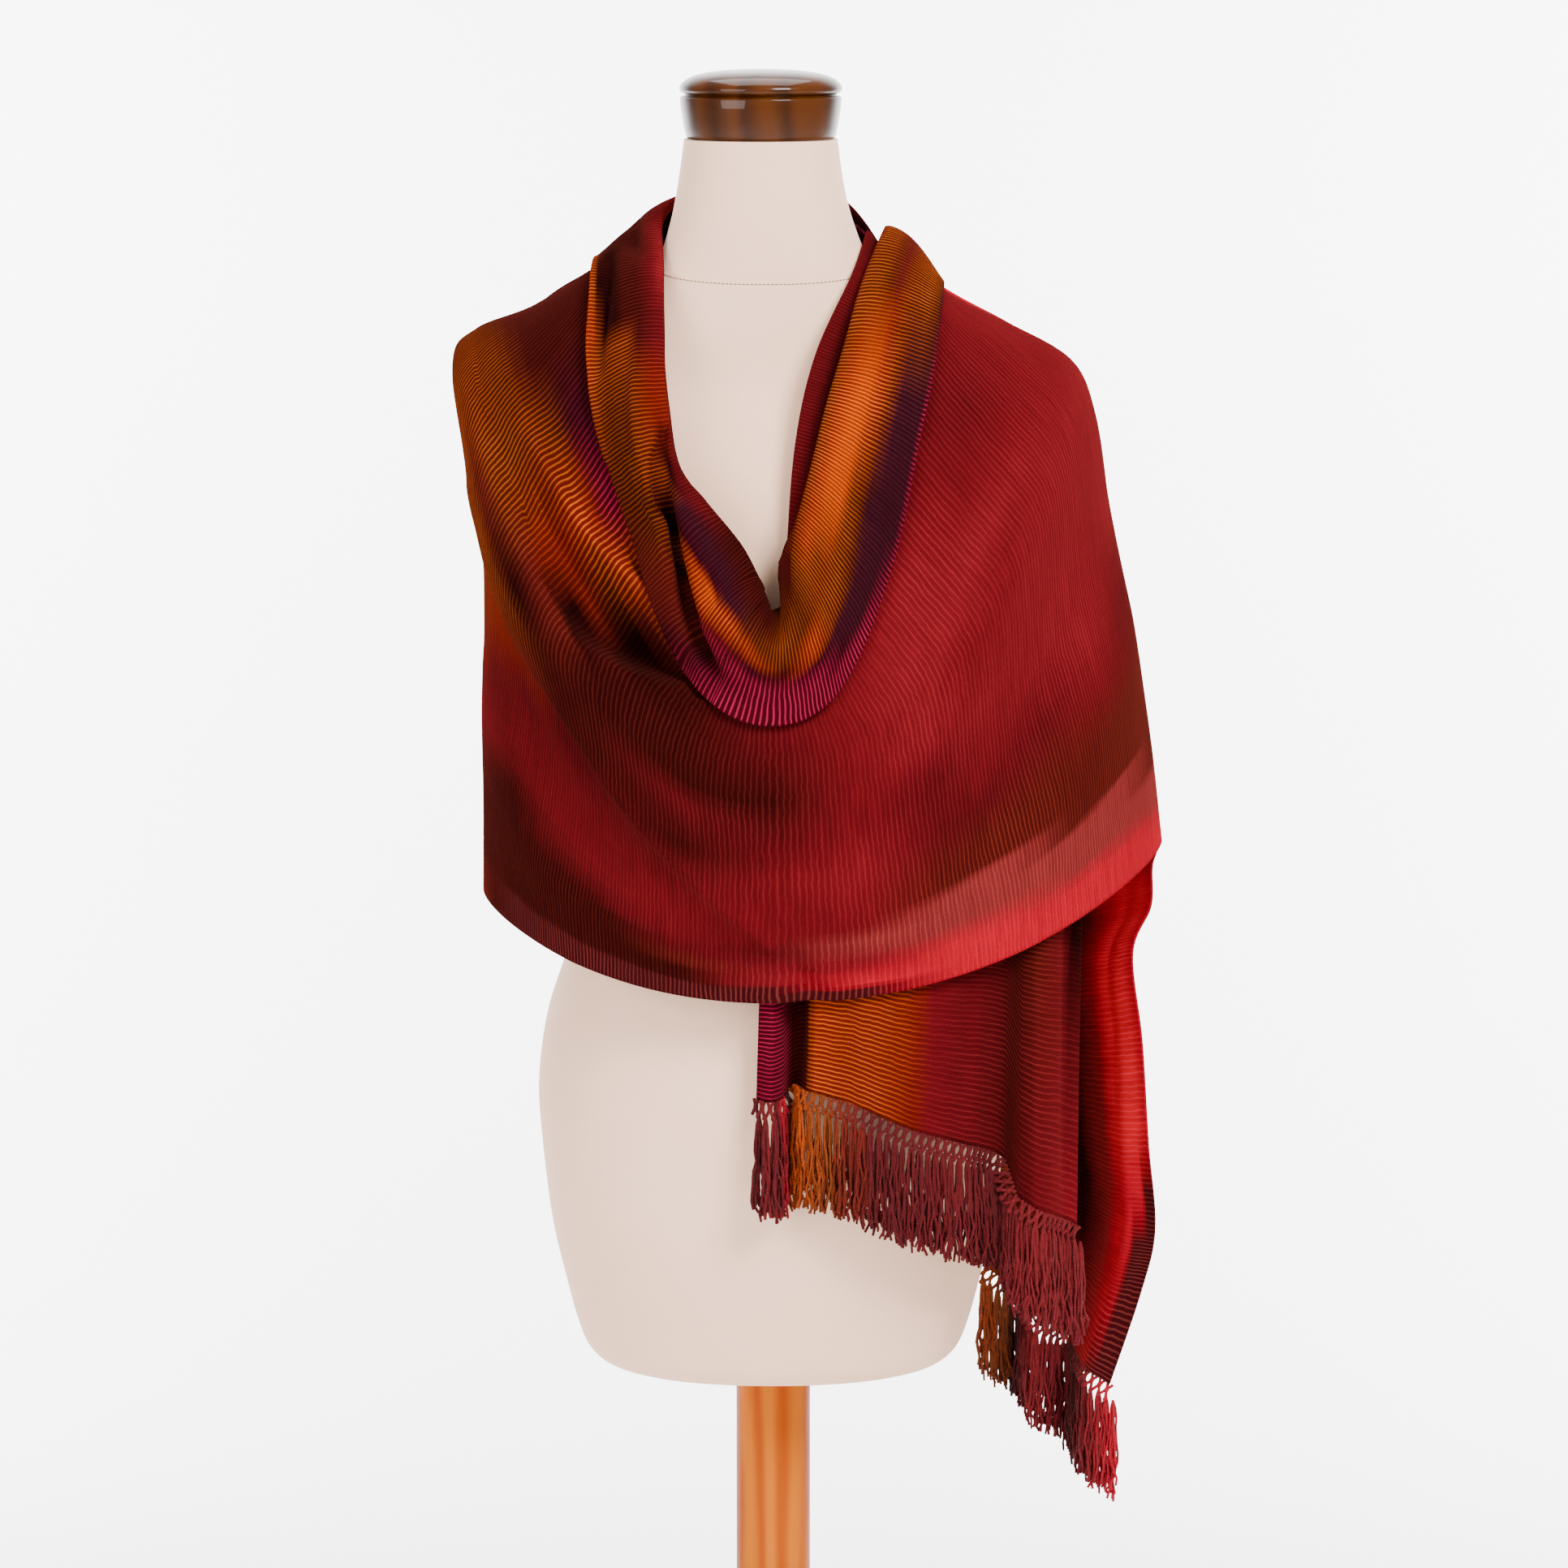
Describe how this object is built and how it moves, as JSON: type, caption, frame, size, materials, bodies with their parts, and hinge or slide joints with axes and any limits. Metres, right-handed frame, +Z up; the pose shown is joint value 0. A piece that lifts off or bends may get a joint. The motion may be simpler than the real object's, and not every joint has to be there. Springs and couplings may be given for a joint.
{
  "type": "chenille shawl on dress form",
  "caption": "Hand-woven shawl with knotted fringed ends, wrapped round a limbless dress form on a wooden pole stand.",
  "frame": {"origin": "centre of the stand base's underside, on the floor", "axes": "+Z up along the stand's pole, the form's front faces -Y, and +X is on the right of someone looking at its front"},
  "size_m": [0.4615, 0.35, 1.5063],
  "materials": {
    "form_fabric": "matte",
    "dark_wood": "gloss varnish",
    "honey_wood": "satin",
    "shawl_cloth": "soft nap",
    "shawl_yarn": "twisted yarn"
  },
  "bodies": {
    "root": {"form_body": "form_fabric", "neck_cap": "dark_wood", "stand_pole": "honey_wood", "stand_base": "honey_wood", "front_panel": "shawl_cloth", "back_wrap": "shawl_cloth", "collar": "shawl_cloth", "end_a": "shawl_cloth", "end_b": "shawl_cloth", "fringe_a": "shawl_yarn", "fringe_b": "shawl_yarn"}
  },
  "joints": []
}
